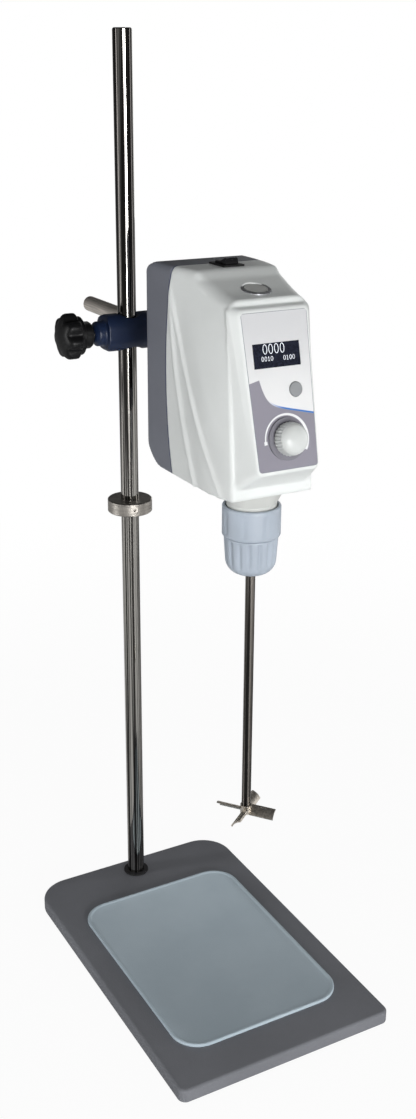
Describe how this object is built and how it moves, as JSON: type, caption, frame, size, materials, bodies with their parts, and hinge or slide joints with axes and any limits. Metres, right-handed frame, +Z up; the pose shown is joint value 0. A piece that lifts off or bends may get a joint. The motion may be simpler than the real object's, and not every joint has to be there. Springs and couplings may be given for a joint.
{
  "type": "overhead stirrer",
  "caption": "Overhead laboratory stirrer: geared-down motor head with panel and hollow-spindle chuck, clamped by its arm to an upright rod on a base plate, with a propeller stirring shaft.",
  "frame": {"origin": "on the table, straight below the middle of the base plate; z 0 is the underside of the rubber feet", "axes": "+Z up along the rod, -Y towards the operator and the control panel, +X to the right seen from the front"},
  "size_m": [0.203, 0.422, 0.803],
  "materials": {
    "plate_paint": "satin powder coat, slate grey",
    "mat_rubber": "matt grey-blue mat",
    "black_rubber": "matt black rubber",
    "chrome_rod": "polished chrome plate",
    "turned_steel": "turned and brushed steel",
    "clamp_paint": "satin navy enamel on a casting",
    "black_plastic": "black moulded plastic",
    "black_gloss": "glossy black rocker",
    "brass_pad": "plain brass",
    "shell_white": "light grey moulded plastic, fine satin",
    "cover_grey": "slate grey moulded plastic",
    "overlay_film": "printed film, silver above and purple grey below",
    "window_glass": "dark display window",
    "button_grey": "grey push button",
    "knob_silver": "silver grey moulded knob",
    "dark_plastic": "dark grey plastic",
    "sleeve_blue": "pale blue grey moulded sleeve",
    "alloy": "machined and cast aluminium",
    "board_green": "green circuit board",
    "stator_steel": "laminations and windings",
    "steel": "ground steel"
  },
  "bodies": {
    "base": {"base_plate": "plate_paint", "base_mat": "mat_rubber", "base_feet": "black_rubber", "rod_foot_ring": "black_rubber"},
    "rod": {"stand_rod": "chrome_rod"},
    "collar": {"stop_collar": "turned_steel"},
    "collar_screw": {"collar_screw": "steel"},
    "clamp": {"clamp_body": "clamp_paint"},
    "rod_pad": {"rod_clamp_pad": "brass_pad"},
    "rod_knob": {"rod_clamp_knob": "black_plastic", "rod_clamp_screw": "steel"},
    "arm_pad": {"arm_clamp_pad": "brass_pad"},
    "arm_knob": {"arm_clamp_knob": "black_plastic", "arm_clamp_screw": "steel"},
    "arm": {"support_arm": "turned_steel"},
    "head": {"rear_cover": "cover_grey", "cover_screws": "steel", "front_shell": "shell_white", "panel_overlay": "overlay_film", "display_window": "window_glass", "display_module": "board_green", "button_switch": "black_plastic", "knob_base_ring": "dark_plastic", "encoder_body": "black_plastic", "switch_housing": "black_plastic", "port_ring": "turned_steel", "chassis_frame": "alloy", "motor_housing": "steel", "motor_stator": "stator_steel", "motor_bearings": "steel", "motor_screws": "steel", "drive_belt": "black_rubber", "upper_bearing": "steel", "lower_bearing": "steel", "neck_housing": "shell_white", "control_board": "board_green", "board_screws": "steel", "power_board": "board_green", "power_inlet": "black_plastic", "arm_lock_screw": "steel"},
    "mode_button": {"mode_button": "button_grey"},
    "encoder_rotor": {"encoder_rotor": "dark_plastic"},
    "speed_knob": {"speed_knob": "knob_silver", "encoder_shaft": "steel"},
    "switch_rocker": {"switch_rocker": "black_gloss"},
    "port_cap": {"port_cap": "shell_white"},
    "motor_rotor": {"motor_rotor": "steel", "motor_pulley": "alloy"},
    "spindle": {"spindle": "steel", "spindle_pulley": "alloy", "retaining_ring": "steel", "chuck_body": "steel", "chuck_rear_sleeve": "sleeve_blue"},
    "chuck_sleeve": {"chuck_front_sleeve": "sleeve_blue", "chuck_nut": "steel"},
    "jaw_1": {"chuck_jaw_1": "steel"},
    "jaw_2": {"chuck_jaw_2": "steel"},
    "jaw_3": {"chuck_jaw_3": "steel"},
    "stirrer": {"stirrer_shaft": "turned_steel", "propeller": "turned_steel"}
  },
  "joints": [
    {"name": "stand_swing", "type": "hinge", "parent": "base", "child": "rod", "pos_m": [0, 0.1365, 0.014], "axis": [0, 0, 1], "range_deg": [-60, 60]},
    {"name": "collar_height", "type": "slide", "parent": "rod", "child": "collar", "axis": [0, 0, 1], "range_m": [-0.25, 0.03]},
    {"name": "collar_screw_turn", "type": "hinge", "parent": "collar", "child": "collar_screw", "pos_m": [0, 0.1365, 0.404], "axis": [-0.225, -0.9744, 0], "range_deg": [0, 720]},
    {"name": "clamp_height", "type": "slide", "parent": "rod", "child": "clamp", "axis": [0, 0, 1], "range_m": [-0.1, 0.18]},
    {"name": "rod_pad_slide", "type": "slide", "parent": "clamp", "child": "rod_pad", "axis": [-1, 0, 0], "range_m": [0, 0.0025]},
    {"name": "rod_knob_turn", "type": "hinge", "parent": "rod_pad", "child": "rod_knob", "pos_m": [0, 0.1365, 0.561], "axis": [-1, 0, 0], "range_deg": [0, 722]},
    {"name": "arm_pad_slide", "type": "slide", "parent": "clamp", "child": "arm_pad", "axis": [1, 0, 0], "range_m": [0, 0.0025]},
    {"name": "arm_knob_turn", "type": "hinge", "parent": "arm_pad", "child": "arm_knob", "pos_m": [0.022, 0.1365, 0.563], "axis": [1, 0, 0], "range_deg": [0, 722]},
    {"name": "arm_reach", "type": "slide", "parent": "clamp", "child": "arm", "axis": [0, 1, 0], "range_m": [-0.1, 0.045]},
    {"name": "head_tilt", "type": "hinge", "parent": "arm", "child": "head", "pos_m": [0.022, 0, 0.563], "axis": [0, 1, 0], "range_deg": [-30, 30]},
    {"name": "mode_button_press", "type": "slide", "parent": "head", "child": "mode_button", "axis": [0, 0.972, -0.2351], "range_m": [0, 0.0008], "stiffness_N_per_m": 600, "springref_m": -0.001},
    {"name": "speed_knob_turn", "type": "hinge", "parent": "head", "child": "encoder_rotor", "pos_m": [0.0225, -0.08885, 0.51799], "axis": [0, -0.972, 0.2351], "continuous": true},
    {"name": "speed_knob_press", "type": "slide", "parent": "encoder_rotor", "child": "speed_knob", "axis": [0, 0.972, -0.2351], "range_m": [0, 0.0008], "stiffness_N_per_m": 800, "springref_m": -0.001},
    {"name": "switch_rock", "type": "hinge", "parent": "head", "child": "switch_rocker", "pos_m": [0.022, 0.003, 0.6342], "axis": [1, 0, 0], "range_deg": [0, 24]},
    {"name": "port_cap_lift", "type": "slide", "parent": "head", "child": "port_cap", "axis": [0, -0.1712, 0.9852], "range_m": [0, 0.03]},
    {"name": "spindle_spin", "type": "hinge", "parent": "head", "child": "spindle", "pos_m": [0.022, -0.041, 0.563], "axis": [0, 0, 1], "continuous": true},
    {"name": "motor_spin", "type": "hinge", "parent": "head", "child": "motor_rotor", "pos_m": [0.022, 0.009, 0.563], "axis": [0, 0, 1], "continuous": true},
    {"name": "chuck_sleeve_turn", "type": "hinge", "parent": "spindle", "child": "chuck_sleeve", "pos_m": [0.022, -0.041, 0.443], "axis": [0, 0, 1], "range_deg": [0, 722]},
    {"name": "jaw_1_slide", "type": "slide", "parent": "spindle", "child": "jaw_1", "axis": [0, 0.342, 0.9397], "range_m": [0, 0.0024]},
    {"name": "jaw_2_slide", "type": "slide", "parent": "spindle", "child": "jaw_2", "axis": [-0.2962, -0.171, 0.9397], "range_m": [0, 0.0024]},
    {"name": "jaw_3_slide", "type": "slide", "parent": "spindle", "child": "jaw_3", "axis": [0.2962, -0.171, 0.9397], "range_m": [0, 0.0024]},
    {"name": "stirrer_slide", "type": "slide", "parent": "spindle", "child": "stirrer", "axis": [0, 0, 1], "range_m": [-0.04, 0.02]}
  ],
  "couplings": [
    {"joint": "rod_knob_turn", "follows": "rod_pad_slide", "rad_per_m": 5026.6},
    {"joint": "arm_knob_turn", "follows": "arm_pad_slide", "rad_per_m": 5026.6},
    {"joint": "motor_spin", "follows": "spindle_spin", "ratio": 2.5},
    {"joint": "chuck_sleeve_turn", "follows": "jaw_1_slide", "rad_per_m": 5236},
    {"joint": "jaw_2_slide", "follows": "jaw_1_slide", "ratio": 1},
    {"joint": "jaw_3_slide", "follows": "jaw_1_slide", "ratio": 1}
  ]
}
